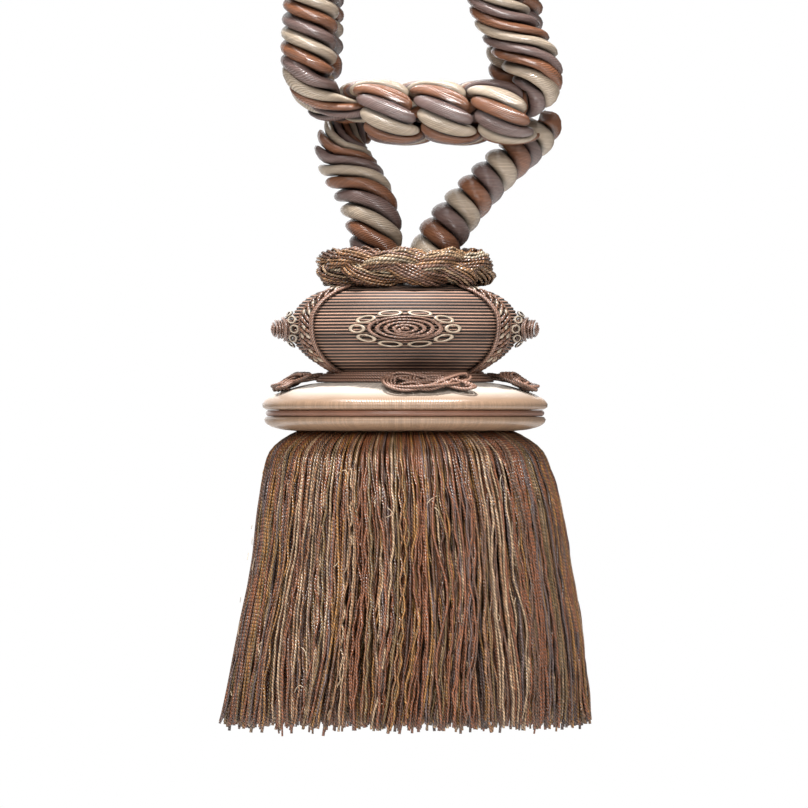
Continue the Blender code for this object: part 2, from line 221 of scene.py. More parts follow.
WRAP_ROUND = 2 * (WRAP_STRAIGHT + WRAP_BEND)

# How each rope's strands run. "turned" is in degrees, "order" is -1 where the colours follow each
# other the other way, and the rows are: along the rope, lay, lean across, lean deep.
ROPE_TWISTS = {
    "front": {
        "turned": 165.0,
        "order": 1,
        "rows": (
            (0.0, 40.0, 0.0, 0.0),
            (30.0, 40.0, -0.4, 0.0),
            (48.0, 38.0, -0.75, 0.0),
            (62.0, 30.0, -0.45, 0.0),
            (75.0, 23.0, -0.1, 0.0),
            (95.0, 21.8, 0.06, 0.0),
            (120.0, 22.1, 0.0, 0.0),
            (380.0, 22.1, 0.0, 0.0),
            (395.0, 21.8, 0.0, 0.0),
            (414.0, 21.8, -0.4, 0.0),
            (430.0, 21.8, -0.65, 0.0),
            (447.0, 21.8, -0.7, 0.0),
            (456.0, 24.0, -0.4, 0.0),
            (468.0, 30.0, 0.0, 0.0),
        ),
    },
    "back": {
        "turned": 60.0,
        "order": -1,
        "rows": (
            (0.0, 40.0, 0.0, 0.0),
            (60.0, 30.0, -0.5, 0.0),
            (95.0, 21.8, 0.0, 0.0),
            (425.0, 21.8, 0.0, 0.0),
            (450.0, 21.8, -0.3, 0.0),
            (470.0, 30.0, 0.0, 0.0),
        ),
    },
    "wraps": {
        "turned": -33.0,
        "order": -1,
        "rows": (
            (70.0, 21.8, 0.0, 0.14),
            (85.0, 24.1, 0.0, 0.14),
            (146.0, 24.1, 0.0, 0.14),
            (161.0, 21.8, 0.0, 0.14),
            (186.0, 21.8, 0.0, 0.14),
            (201.0, 19.9, 0.0, 0.14),
            (262.0, 19.9, 0.0, 0.14),
            (277.0, 21.8, 0.0, 0.14),
        ),
    },
    "rope_leg_left": {
        "turned": 46.0,
        "order": -1,
        "rows": (
            (0.0, 15.0, -0.5, 0.0),
            (28.0, 15.0, -0.5, 0.0),
            (48.0, 26.5, -0.38, 0.0),
            (60.0, 30.0, -0.28, 0.0),
        ),
    },
    "rope_leg_right": {"turned": -188.0, "order": 1, "rows": ((0.0, 28.5, 0.4, 0.0),)},
}

# ---------------------------------------------------------------- head sizes

BALL = (  # radius, drop
    (24.0, 247.5),
    (36.0, 249.2),
    (45.5, 252.0),
    (53.0, 257.5),
    (56.4, 263.0),
    (57.0, 269.0),
    (55.5, 276.0),
    (48.5, 284.0),
    (38.5, 290.0),
    (34.0, 292.6),
)
BALL_CROWN = (22.5, 240.5)  # up under the wreath
BALL_FOOT = (31.0, 295.2)  # down inside the collar
SLOPE_REACH = 1.5  # up and down from a place, to read the ball's slope there
ROW_HEIGHT = 1.62  # one row of the ball's wound cord
ROW_FACETS = 5
ROW_SINK = 0.7  # how deep the dips between the rows are
ROW_LEVEL_PACE = 0.2  # what a way inwards counts for in rows, against the same way down
BALL_RADIUS = 57.0
FACETS = 180  # round the turned pieces

DISC_UPPER = (  # radius, drop: a smooth curve
    (32.5, 295.5),
    (40.0, 296.1),
    (47.5, 297.0),
    (54.5, 298.6),
    (60.5, 300.5),
    (66.5, 303.0),
    (70.0, 305.2),
    (71.3, 307.0),
    (71.2, 308.6),
)
DISC_GROOVE = (  # with straight walls
    (69.5, 309.7),
    (63.0, 310.0),
    (63.0, 313.0),
)
DISC_LOWER = (  # a smooth curve
    (69.5, 313.4),
    (70.5, 315.0),
    (69.0, 317.0),
    (63.0, 319.4),
    (54.5, 320.5),
)
DISC_STEP = 1.6
SHADED_LIP_DROP = 309.9  # below it, the floss is tan all over, in painted shade
SHADED_LIP_TONE = 0.5
PAINTED_LIGHT_RADII = ((60.0, 69.5), (0.0, SHADED_LIP_TONE))  # where the floss turns from white in painted light to tan in painted shade
GROOVE_BAND = (
    (63.4, 310.1),
    (68.6, 310.1),
    (69.4, 310.7),
    (69.7, 311.5),
    (69.4, 312.4),
    (68.6, 313.1),
    (63.4, 312.9),
)

RUFF = {
    "radius": 34.2,
    "drop": 239.1,
    "swing": 3.4,  # in and out, where one hank passes over another
    "rise": 4.9,  # up and down
    "half_wide": 6.6,  # of a hank, to the middle of its outer yarns
    "half_high": 4.3,
    "hanks": 3,
    "plaits": 3,  # of one hank over and under the others, in a round
    "start": 0.5,
    "turns": 2,  # of the yarns round their hank, in one round of the wreath
    "rows": 120,
}
RUFF_SHELLS = ((17, 1.0), (9, 0.62))  # yarns, share of the hank's half sizes
RUFF_WOBBLES = ((6, 18, 0.5), (20, 32, 0.45))  # at least, and below how many waves in a round, size
RUFF_YARN_HALF = 0.78
RUFF_YARN_SIZES = (0.8, 1.25)  # the thinnest and the thickest, as shares of that
RUFF_YARN_SIDES = 5

CORD_SIDES = 8  # of the fine cords' sections
BANDS = ((56.5, 1), (123.5, -1), (236.5, 1), (303.5, -1))  # azimuth, and -1 where it is mirrored
BAND_ROWS = 96
BAND_CORDS = ((-4.6, 0.4, 1.05), (-2.6, 0.4, 0.8), (7.4, 0.1, 0.9))  # degrees aside, tone, half
BAND_DROPS = (249.6, 291.6)
BAND_DRAWN = (  # drop, degrees to its side
    (249.6, -7.0),
    (256.0, -2.6),
    (263.0, 0.0),
    (278.0, 0.0),
    (291.6, 3.0),
)
BRAID_COLUMNS = (-0.3, 2.2, 4.7)  # degrees from the middle of the band
BRAID_ROWS = 15
BRAID_DROPS = (251.0, 290.5)
BRAID_LEAN = 1.5  # degrees that a stitch runs to either side
BRAID_RUN = 1.2  # half of its way down
BRAID_STITCH_ROWS = 6
BRAID_STITCH_HALF = 1.1
BRAID_STITCH_TAPER = 0.5  # the share of it that is lost towards the ends
BRAID_STITCH_HIGH = 0.9
BRAID_STITCH_BEND = 0.4  # down to the ends
BRAID_TONES = (0.9, 0.35, 0.65, 0.1)
SEAT = 0.5  # of what is sewn on, off the ball

MEDALLIONS = (  # side, azimuth in degrees from the front, half of its width
    ("front", 0.0, 29.0),
    ("right", 90.0, 26.5),
    ("back", 180.0, 29.0),
    ("left", 270.0, 26.5),
)
MEDALLION_DROP = 269.6
MEDALLION_HALF_HIGH = 9.2
FLOWER_RADIUS = 14.5  # as laid out round, before it is drawn wide
BUTTON = (  # turns, radius, height: two drums of coiled cord, the smaller one closed by a spiral
    (0.0, 9.0, -0.6),
    (1.0, 9.0, 0.9),
    (2.0, 9.0, 2.4),
    (3.0, 9.0, 3.9),
    (4.0, 9.0, 4.3),
    (4.2, 6.9, 3.6),
    (5.2, 6.9, 5.0),
    (6.2, 6.9, 6.5),
    (7.1, 6.9, 7.8),
    (7.3, 4.8, 8.3),
    (8.2, 4.8, 8.6),
    (8.4, 2.7, 8.8),
    (9.3, 2.7, 9.0),
    (9.5, 0.7, 9.1),
    (10.2, 0.5, 9.1),
)
BUTTON_CORD_HALF = 0.78
BUTTON_FACETS = 34  # in one turn of its cord
BUTTON_TONE = 0.3
PETALS = 10
PETAL_ROWS = 40
PETAL_TONE = 0.9
PETAL_MIDDLE = 12.2
PETAL_HALVES = (1.8, 2.8)  # outwards, and along the rim
PETAL_CORD_HALF = 0.62
PETAL_HEIGHT = 1.9
PETAL_SLOPE = 0.35  # down to the petal's outer edge

COLLAR_ROUNDS = ((38.6, 291.6), (40.6, 292.6), (42.4, 293.9), (43.6, 295.3))  # radius, drop
COLLAR_CORD_HALF = 0.95
COLLAR_TONE = 0.3
COLLAR_ROWS = 520
COLLAR_KNOTS = (("front", 12.0), ("right", 90.0), ("back", 180.0), ("left", 270.0))
KNOT_LIFT = 1.1  # where one bundle passes over another
KNOT_LIFT_START = math.pi / 6
KNOT_INNER = (51.0, 291.6)  # radius and drop of the knot's upper edge
KNOT_OUTER = (65.8, 300.2)  # and of its lower edge
# A knot's loops: half width, half height as a share, passes aside and down, degrees at the start,
# and how far each cord of the bundle lies from its middle.
KNOT_LOOPS = (
    (20.5, 0.38, (2, 3), 45.0, (-2.7, -0.9, 0.9, 2.7)),
    (14.5, 0.2, (2, 3), 0.0, (-0.9, 0.9)),
    (9.5, 0.36, (1, 1), 90.0, (-1.8, 0.0, 1.8)),
)
KNOT_LEAD = ((41.0, 292.8), (56.0, 295.2))  # radius and drop where the cords run out to the knot
KNOT_LEADS = (  # aside, lower
    (-2.7, 0.0),
    (-0.9, -0.7),
    (0.9, -0.7),
    (2.7, 0.0),
    (-1.7, 1.4),
    (1.7, 1.4),
)
KNOT_LEAD_ROWS = 24
KNOT_LEAD_CURVE = 1.5  # above 1, they run level first and then down
KNOT_ROWS = 288
CORD_PLY = 3.0  # along a twisted cord, for one turn of its two plies
CORD_WAIST = 0.38  # how deep the groove between its plies is, as a share
FRINGE_HEADING = ((30.0, 320.8), (52.0, 320.8), (53.0, 322.0), (52.0, 324.4), (30.0, 324.4))

FRINGE_OUTLINE = (  # drop, radius
    (320.6, 53.0),
    (322.6, 57.5),
    (325.0, 61.5),
    (330.0, 67.0),
    (342.0, 71.0),
    (359.5, 75.0),
    (385.0, 78.5),
    (402.5, 81.5),
    (425.0, 85.5),
    (450.0, 88.0),
    (472.0, 88.8),
)


def spots(rows):
    """Places in metres, from rows of x, y and drop in millimetres."""
    rows = np.asarray(rows, float)
    return np.stack([rows[..., 0], rows[..., 1], -rows[..., 2]], axis=-1) * MM


def round_spots(radius, azimuth, drop):
    """Places in metres, from a radius, degrees from the front towards the right, and a drop."""
    turn = np.radians(azimuth)
    return spots(np.stack(np.broadcast_arrays(radius * np.sin(turn), -radius * np.cos(turn), drop), axis=-1))


def unit(vectors):
    """The same ways, each 1 long."""
    return vectors / np.maximum(np.linalg.norm(vectors, axis=-1, keepdims=True), 1e-12)


def outwards(places):
    """Level ways out from the tassel's axis, at those places."""
    return unit(places * (1, 1, 0))


def way_along(rows):
    """How far along a line of places each of them is."""
    return np.concatenate([[0], np.cumsum(np.linalg.norm(np.diff(rows, axis=0), axis=1))])


def smooth_rows(table, step):
    """Rows about a step apart on the smooth curve through a table's rows, and how far along each is.

    The first two or three columns are the place. Any further ones change smoothly with it.
    """
    rows = np.array(table, float)
    place = slice(min(3, rows.shape[1]))
    along = way_along(rows[:, place])
    slope = np.gradient(rows, along, axis=0)
    fine = np.linspace(0, along[-1], CURVE_READS * len(rows))
    i = np.clip(np.searchsorted(along, fine, side="right") - 1, 0, len(rows) - 2)
    span = (along[i + 1] - along[i])[:, None]
    t = (fine - along[i])[:, None] / span
    curve = (
        (2 * t**3 - 3 * t**2 + 1) * rows[i]
        + (t**3 - 2 * t**2 + t) * span * slope[i]
        + (3 * t**2 - 2 * t**3) * rows[i + 1]
        + (t**3 - t**2) * span * slope[i + 1]
    )
    length = way_along(curve[:, place])
    even = np.linspace(0, length[-1], max(2, round(length[-1] / step) + 1))
    return np.stack([np.interp(even, length, column) for column in curve.T], axis=1), even


# ---------------------------------------------------------------- materials

YARN_SPECULAR = 0.85
BLOTCH_SCALE = 90.0
BLOTCH_DETAIL = 2.0
PAINTED_LIGHT_FACING = (0.45, 0.85)  # painted light: how far upwards a side faces that isn't kept light, and one that is
PAINTED_SHADE_FACING = (0.12, 0.85)  # painted shade: how far outwards a cord's side faces where it is dark, and where it is light


def linear(dye):
    """A dye's red, green and blue as shares of light, by the curve that screens use."""
    shares = [c / 255 for c in DYES[dye]]
    return [c / 12.92 if c <= 0.04045 else ((c + 0.055) / 1.055) ** 2.4 for c in shares]


def math_node(tree, operation, first, second=None):
    """The result of an operation on two values, each of them a number or a node's output."""
    node = tree.nodes.new("ShaderNodeMath")
    node.operation = operation
    for socket, value in zip(node.inputs, (first, second)):
        if isinstance(value, (int, float)):
            socket.default_value = value
        elif value is not None:
            tree.links.new(value, socket)
    return node.outputs[0]


def attribute(tree, name, output="Fac"):
    """What the mesh says under that name."""
    node = tree.nodes.new("ShaderNodeAttribute")
    node.attribute_name = name
    return node.outputs[output]


def remapped(tree, value, span=(0.0, 1.0), to=(0.0, 1.0), shape="LINEAR"):
    """A value carried over from one span to another."""
    node = tree.nodes.new("ShaderNodeMapRange")
    node.interpolation_type = shape
    node.inputs["From Min"].default_value, node.inputs["From Max"].default_value = span
    node.inputs["To Min"].default_value, node.inputs["To Max"].default_value = to
    tree.links.new(value, node.inputs["Value"])
    return node.outputs[0]


def threads_group():
    """Threads that wind round a cord or a turned piece, from its lay attribute.

    Height is 0 in the gaps between threads, and Shade is each thread's own. The third output is painted
    shade on a cord's sides: 0 on the side that faces a neighbour and 1 where it faces outwards, and it is
    raised by painted light where the surface faces upwards.
    """
    group = bpy.data.node_groups.new("wound threads", "ShaderNodeTree")
    inputs = (("Threads", 8.0), ("Threads per metre", 200.0), ("Gap width", 1.0), ("Painted top light", 0.0))
    for name, start in inputs:
        socket = group.interface.new_socket(name, in_out="INPUT", socket_type="NodeSocketFloat")
        socket.default_value = start
    for name in ("Height", "Shade", "Painted flank shade"):
        group.interface.new_socket(name, in_out="OUTPUT", socket_type="NodeSocketFloat")
    nodes, links = group.nodes, group.links
    given, result = nodes.new("NodeGroupInput"), nodes.new("NodeGroupOutput")

    lay = nodes.new("ShaderNodeSeparateXYZ")
    links.new(attribute(group, "lay", "Vector"), lay.inputs[0])
    angle = math_node(group, "ARCTAN2", lay.outputs[1], lay.outputs[0])
    turn = math_node(group, "DIVIDE", angle, 2 * math.pi)
    around = math_node(group, "MULTIPLY", turn, given.outputs["Threads"])
    onwards = math_node(group, "MULTIPLY", lay.outputs[2], given.outputs["Threads per metre"])
    phase = math_node(group, "ADD", around, onwards)
    across = math_node(group, "MULTIPLY", math_node(group, "FRACT", phase), math.pi)
    height = math_node(group, "POWER", math_node(group, "SINE", across), given.outputs["Gap width"])
    links.new(height, result.inputs["Height"])

    thread = nodes.new("ShaderNodeCombineXYZ")
    links.new(math_node(group, "FLOOR", phase), thread.inputs[0])
    links.new(attribute(group, "tone"), thread.inputs[1])
    chance = nodes.new("ShaderNodeTexWhiteNoise")
    chance.noise_dimensions = "2D"
    links.new(thread.outputs[0], chance.inputs["Vector"])
    links.new(chance.outputs["Value"], result.inputs["Shade"])

    # Painted shade on a cord's sides beside its neighbours, from the facing attribute, and painted light
    # that keeps sides facing upwards light.
    surface = nodes.new("ShaderNodeNewGeometry")
    normal = nodes.new("ShaderNodeSeparateXYZ")
    links.new(surface.outputs["Normal"], normal.inputs[0])
    painted_top_light = remapped(group, normal.outputs["Z"], span=PAINTED_LIGHT_FACING, shape="SMOOTHSTEP")
    painted_top_light = math_node(group, "MULTIPLY", painted_top_light, given.outputs["Painted top light"])
    painted_flank_shade = remapped(group, attribute(group, "facing"), span=PAINTED_SHADE_FACING, shape="SMOOTHSTEP")
    links.new(math_node(group, "MAXIMUM", painted_flank_shade, painted_top_light), result.inputs["Painted flank shade"])
    return group


def cord_finish(
    name,
    dyes,
    threads,
    per_metre,
    depth,
    rough,
    painted_gap_shade=0.45,
    spread=0.35,
    blotch=0.25,
    gap_width=1.0,
    painted_flank_shade=0.0,
    painted_top_light=0.0,
    blend=False,
):
    """Shiny twisted yarn. The tone attribute picks its dye, or with blend a mix of two.

    threads: how many lie round it. per_metre: how many are passed in a metre along it. depth: theirs, in
    millimetres. gap, flank: painted shade, how much darker it is between its threads, and beside its
    neighbours. spread, blotch: how much its lightness changes from thread to thread, and from place to
    place. lit: painted light, how light a side that faces upwards stays.
    """
    made = bpy.data.materials.new(name)
    made.use_nodes = True
    tree = made.node_tree
    nodes, links = tree.nodes, tree.links
    shader = nodes["Principled BSDF"]
    shader.inputs["Roughness"].default_value = rough
    shader.inputs["Specular IOR Level"].default_value = YARN_SPECULAR
    wound = nodes.new("ShaderNodeGroup")
    wound.node_tree = wound_threads
    for socket_name, value in (
        ("Threads", threads),
        ("Threads per metre", per_metre),
        ("Gap width", gap_width),
        ("Painted top light", painted_top_light),
    ):
        wound.inputs[socket_name].default_value = value

    ramp = nodes.new("ShaderNodeValToRGB")
    ramp.color_ramp.interpolation = "LINEAR" if blend else "CONSTANT"
    stops = ramp.color_ramp.elements  # a new ramp has two
    for k, dye in enumerate(dyes):
        if k < len(stops):
            stops[k].position = k / len(dyes)
        else:
            stops.new(k / len(dyes))
        stops[k].color = (*linear(dye), 1.0)
    if len(dyes) == 1:
        stops.remove(stops[1])
    links.new(attribute(tree, "tone"), ramp.inputs[0])

    coords = nodes.new("ShaderNodeTexCoord")
    noise = nodes.new("ShaderNodeTexNoise")
    noise.inputs["Scale"].default_value = BLOTCH_SCALE
    noise.inputs["Detail"].default_value = BLOTCH_DETAIL
    links.new(coords.outputs["Object"], noise.inputs["Vector"])
    lightness = remapped(tree, wound.outputs["Shade"], to=(1.0 - spread, 1.0 + spread))
    # Painted shade: darker in the gaps between threads and on the sides beside neighbours.
    for other in (
        remapped(tree, wound.outputs["Height"], to=(1.0 - painted_gap_shade, 1.0)),
        remapped(tree, wound.outputs["Painted flank shade"], to=(1.0 - painted_flank_shade, 1.0)),
        remapped(tree, noise.outputs[0], to=(1.0 - blotch, 1.0 + blotch)),
    ):
        lightness = math_node(tree, "MULTIPLY", lightness, other)
    colour = nodes.new("ShaderNodeVectorMath")
    colour.operation = "SCALE"
    links.new(ramp.outputs["Color"], colour.inputs[0])
    links.new(lightness, colour.inputs["Scale"])
    links.new(colour.outputs[0], shader.inputs["Base Color"])

    bump = nodes.new("ShaderNodeBump")
    bump.inputs["Distance"].default_value = depth * MM
    bump.inputs["Strength"].default_value = 1.0
    links.new(wound.outputs["Height"], bump.inputs["Height"])
    links.new(bump.outputs[0], shader.inputs["Normal"])
    return made


# ---------------------------------------------------------------- ways of making


def shown(name, solid, finish):
    """An object in the scene, of the mesh that a bmesh holds, which is then let go."""
    mesh = bpy.data.meshes.new(name)
    solid.to_mesh(mesh)
    solid.free()
    mesh.materials.append(finish)
    made = bpy.data.objects.new(name, mesh)
    bpy.context.scene.collection.objects.link(made)
    return made


def finish_piece(name, solid, finish, replaced=(), crease=None):
    """A piece of the tassel, in place of the solids that it replaces."""
    piece = shown(name, solid, finish)
    piece.data.shade_smooth()
    if crease:
        piece.data.set_sharp_from_angle(angle=math.radians(crease))
    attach(piece, "root")
    if replaced:
        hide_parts(*replaced)
    return piece


def rolled(name, sheets, finish, replaced=(), crease=None):
    """One piece of many tubes. A sheet is (places, lay, tone): rows along the tube, columns round it.

    A long grid is cut between the tubes, and each part is rolled up and joined at its seam. A
    tube's first column faces outwards, and the facing attribute says how far each column does.
    """
    columns = sheets[0][0].shape[1]
    rows = [sheet[0].shape[0] for sheet in sheets]
    solid = bmesh.new()
    bmesh.ops.create_grid(solid, x_segments=columns - 1, y_segments=sum(rows) - 1, size=0.5)
    lay_layer = solid.verts.layers.float_vector.new("lay")
    tone_layer = solid.verts.layers.float.new("tone")
    facing_layer = solid.verts.layers.float.new("facing")
    places = np.concatenate([sheet[0].reshape(-1, 3) for sheet in sheets]).tolist()
    lays = np.concatenate([sheet[1].reshape(-1, 3) for sheet in sheets]).tolist()
    tones = np.repeat([sheet[2] for sheet in sheets], np.array(rows) * columns).tolist()
    facings = np.tile(np.cos(np.linspace(0, 2 * math.pi, columns)), sum(rows)).tolist()
    for vert, place, lay, tone, facing in zip(solid.verts, places, lays, tones, facings):
        vert.co = place
        vert[lay_layer] = lay
        vert[tone_layer] = tone
        vert[facing_layer] = facing
    between = set(np.cumsum(rows)[:-1] - 1)
    cut = [face for i, face in enumerate(solid.faces) if i // (columns - 1) in between]
    bmesh.ops.delete(solid, geom=cut, context="FACES_ONLY")
    loose = [edge for edge in solid.edges if not edge.link_faces]
    bmesh.ops.delete(solid, geom=loose, context="EDGES")
    bmesh.ops.remove_doubles(solid, verts=solid.verts, dist=SEAM)
    bmesh.ops.recalc_face_normals(solid, faces=solid.faces)
    return finish_piece(name, solid, finish, replaced, crease)


def flat_ends(places, lay, first, last):
    """A tube's places and lay with a row more at each end, drawn into one place, which closes it."""
    ends = [np.broadcast_to(middle, (1, *places.shape[1:])) for middle in (first, last)]
    return np.concatenate([ends[0], places, ends[1]]), np.concatenate([lay[:1], lay, lay[-1:]])


def tube(route, half, up, sides, tone, closed=False, ply=0.0, start=0.0):
    """A sheet round a route of places. An open one is closed by a flat end.

    With a ply, the section has a waist that winds along the cord, as two plies do.
    """
    route = np.asarray(route, float)
    if closed:
        ahead, behind = np.roll(route, -1, axis=0), np.roll(route, 1, axis=0)
        tangent = unit(ahead - behind)
    else:
        tangent = unit(np.gradient(route, axis=0))
    up = np.broadcast_to(np.asarray(up, float), route.shape)
    first = unit(up - tangent * np.sum(up * tangent, axis=1, keepdims=True))
    second = np.cross(tangent, first)
    length = way_along(route)
    half = np.broadcast_to(np.asarray(half, float), (len(route),))[:, None]
    turn = np.broadcast_to(np.linspace(0, 2 * math.pi, sides + 1), (len(route), sides + 1))
    wound = turn + math.pi / 2
    if ply:
        whole = length[-1] + (np.linalg.norm(route[0] - route[-1]) if closed else 0.0)
        pace = round(whole / ply) * 2 * math.pi / whole if closed else 2 * math.pi / ply
        wound = wound - (pace * length)[:, None] - start
        half = half * (1 - CORD_WAIST * np.abs(np.cos(wound)))
    places = (
        route[:, None]
        + first[:, None] * (np.cos(turn) * half)[..., None]
        + second[:, None] * (np.sin(turn) * half)[..., None]
    )
    lay = np.stack([np.cos(wound), np.sin(wound), np.broadcast_to(length[:, None], turn.shape)], axis=-1)
    if closed:
        places, lay = np.concatenate([places, places[:1]]), np.concatenate([lay, lay[:1]])
    else:
        places, lay = flat_ends(places, lay, route[0], route[-1])
    return places, lay, tone


def spun(name, outline, finish, replaced=(), closed=False, length=None, tones=None):
    """An outline of radius and drop, turned round the tassel's axis. A closed one makes a ring.

    Its lay attribute counts metres along the outline, or what is given for each point.
    """
    solid = bmesh.new()
    lay_layer = solid.verts.layers.float_vector.new("lay")
    tone_layer = solid.verts.layers.float.new("tone")
    rows = np.asarray(outline, float)
    if length is None:
        length = way_along(rows) * MM
    if tones is None:
        tones = np.zeros(len(rows))
    profile = []
    for (radius, drop), along, tone in zip(rows, length, tones):
        vert = solid.verts.new((radius * MM, 0.0, -drop * MM))
        vert[lay_layer] = (1.0, 0.0, along)
        vert[tone_layer] = tone
        profile.append(vert)
    pairs = list(zip(profile, profile[1:]))
    if closed:
        pairs.append((profile[-1], profile[0]))
    edges = [solid.edges.new(pair) for pair in pairs]
    bmesh.ops.spin(
        solid,
        geom=profile + edges,
        cent=(0, 0, 0),
        axis=(0, 0, 1),
        dvec=(0, 0, 0),
        angle=2 * math.pi,
        steps=FACETS,
        use_merge=True,
        use_duplicate=False,
    )
    for vert in solid.verts:
        radius = math.hypot(vert.co.x, vert.co.y)
        vert[lay_layer] = (vert.co.x / radius, vert.co.y / radius, vert[lay_layer][2])
    rims = [edge for edge in solid.edges if edge.is_boundary]
    if rims:
        bmesh.ops.holes_fill(solid, edges=rims, sides=0)
    bmesh.ops.recalc_face_normals(solid, faces=solid.faces)
    return finish_piece(name, solid, finish, replaced)


# ---------------------------------------------------------------- ropes


def rope_frame(rows, along, side, twist):
    """The rope's middle line with its ways across and deep, and its twist, ready to be read anywhere."""
    middle = spots(rows[:, :3])
    tangent = unit(np.gradient(middle, axis=0))
    side = np.asarray(side, float)
    deep = unit(side - tangent * (tangent @ side)[:, None])
    across = np.cross(deep, tangent)
    halves = rows[:, 3:5] * MM
    at, lays, leans_across, leans_deep = zip(*twist["rows"])
    lay = np.interp(along, at, lays)
    turns = np.concatenate([[0], np.cumsum(np.diff(along) * 2 / (lay[1:] + lay[:-1]))])
    return {
        "along": along,
        "middle": middle,
        "across": across * halves[:, :1],
        "deep": deep * halves[:, 1:],
        "lay": lay,
        "turns": turns + twist["turned"] / 360,
        "lean across": np.interp(along, at, leans_across),
        "lean deep": np.interp(along, at, leans_deep),
        "order": twist["order"],
    }


def read_frame(rope, key, along):
    """The rope's middle, or one of its ways, at lengths along it."""
    columns = [np.interp(along, rope["along"], rope[key][:, k]) for k in range(3)]
    return np.stack(columns, axis=-1)


def fuller(value):
    """A sine or cosine, drawn outwards so that a section is squarer than an ellipse."""
    return np.sign(value) * np.abs(value) ** STRAND_FULLNESS


def strands(rope, start, stop):
    """Three strands laid round each other, between two lengths along the rope.

    The lean shifts a strand along the rope in step with how far across, or deep, it lies.
    """
    rings = np.linspace(start, stop, max(3, round((stop - start) * RINGS_A_LAY / ROPE_LAY) + 1))
    turn = np.linspace(0, 2 * math.pi, STRAND_COLUMNS)

    def along_rings(key):
        return np.interp(rings, rope["along"], rope[key])[:, None]

    out = STRAND_MIDDLE + STRAND_REACH * fuller(np.cos(turn))
    onwards = STRAND_HALF * along_rings("lay") / (2 * STRANDS) * fuller(np.sin(turn))
    strand_length = along_rings("turns") * MM * math.hypot(ROPE_LAY, 2 * math.pi * STRAND_WAY * LOOP_HALF)
    lay = np.stack(np.broadcast_arrays(np.cos(turn), np.sin(turn), strand_length), axis=-1)
    sheets = []
    for number in range(STRANDS):
        angle = 2 * math.pi * (number / STRANDS - along_rings("turns"))
        across, deep = out * np.cos(angle), out * np.sin(angle)
        shift = along_rings("lean across") * across + along_rings("lean deep") * deep
        at = rings[:, None] + onwards + LOOP_HALF * shift
        places = (
            read_frame(rope, "middle", at)
            + read_frame(rope, "across", at) * across[..., None]
            + read_frame(rope, "deep", at) * deep[..., None]
        )
        tone = ((number * rope["order"]) % STRANDS + 0.5) / STRANDS
        sheets.append((*flat_ends(places, lay, places[0].mean(axis=0), places[-1].mean(axis=0)), tone))
    return sheets


def roped(node, sheets):
    """A rope's three strands as one piece, in place of its solid."""
    return rolled(f"{node}_strands", sheets, rope_satin, (node,), CAP_ANGLE)


def tieback_rope(side_name, route, y):
    """A closed loop of rope: its free length is a cord, and two ends run level into the knot."""
    loop = [(x, y, drop, LOOP_HALF, LOOP_HALF) for x, drop in route]
    left, right = ROPE_ENDS[f"rope_end_{side_name}_left"], ROPE_ENDS[f"rope_end_{side_name}_right"]
    rows, along = smooth_rows([*reversed(left), *loop, *right], ROPE_LAY / RINGS_A_LAY)
    rope = rope_frame(rows, along, FRONT_TO_BACK, ROPE_TWISTS[side_name])
    cuts = [int(np.argmin(np.linalg.norm(rows[:, :3] - row[:3], axis=1))) for row in (loop[0], loop[-1])]
    for name, start, stop in (("left", 0, cuts[0]), ("right", cuts[1], -1)):
        roped(f"rope_end_{side_name}_{name}", strands(rope, along[start], along[stop]))
    piece = roped(f"rope_loop_{side_name}", strands(rope, along[cuts[0]], along[cuts[1]]))


def wrap_row(length):
    """The row of the wraps' route at that length: a flat coil, half circles before and behind."""
    x = WRAPS["start_x"] + WRAPS["pitch"] * length / WRAP_ROUND
    at = (length + WRAP_BEND / 2) % WRAP_ROUND  # from the foot of the back bend, going up
    if at < WRAP_BEND:
        turn = at / WRAPS["half_high"]
        y, up = WRAP_STRAIGHT / 2 + WRAPS["half_high"] * math.sin(turn), -WRAPS["half_high"] * math.cos(turn)
    elif at < WRAP_BEND + WRAP_STRAIGHT:
        y, up = WRAP_STRAIGHT / 2 - (at - WRAP_BEND), WRAPS["half_high"]
    elif at < 2 * WRAP_BEND + WRAP_STRAIGHT:
        turn = (at - WRAP_BEND - WRAP_STRAIGHT) / WRAPS["half_high"]
        y, up = -WRAP_STRAIGHT / 2 - WRAPS["half_high"] * math.sin(turn), WRAPS["half_high"] * math.cos(turn)
    else:
        y, up = -WRAP_STRAIGHT / 2 + (at - 2 * WRAP_BEND - WRAP_STRAIGHT), -WRAPS["half_high"]
    return (x, y, WRAPS["drop"] - up, WRAPS["half_thick"], WRAPS["half_across"])


def hanger_rope():
    """The tassel's own rope: three turns round the loops, and two legs into the head."""
    length = WRAPS["turns"] * WRAP_ROUND
    along = np.linspace(0, length, round(length * RINGS_A_LAY / ROPE_LAY))
    rope = rope_frame(np.array([wrap_row(at) for at in along]), along, LEFT_TO_RIGHT, ROPE_TWISTS["wraps"])
    roped("rope_wraps", strands(rope, 0, length))
    for node, table in LEGS.items():
        rows, along = smooth_rows(table, ROPE_LAY / RINGS_A_LAY)
        rope = rope_frame(rows, along, FRONT_TO_BACK, ROPE_TWISTS[node])
        roped(node, strands(rope, 0, along[-1]))


# ---------------------------------------------------------------- head

BALL_CURVE = smooth_rows(BALL, step=0.5)[0]


def ball_radius(drop):
    """How far out the ball's outline is at that drop."""
    return np.interp(drop, BALL_CURVE[:, 1], BALL_CURVE[:, 0])


def on_ball(azimuth, drop, height):
    """Places in metres at that height off the ball's surface."""
    radius = ball_radius(drop)
    rise = (ball_radius(drop + SLOPE_REACH) - ball_radius(drop - SLOPE_REACH)) / (2 * SLOPE_REACH)
    length = np.hypot(1.0, rise)
    return round_spots(radius + height / length, azimuth, drop - height * rise / length)


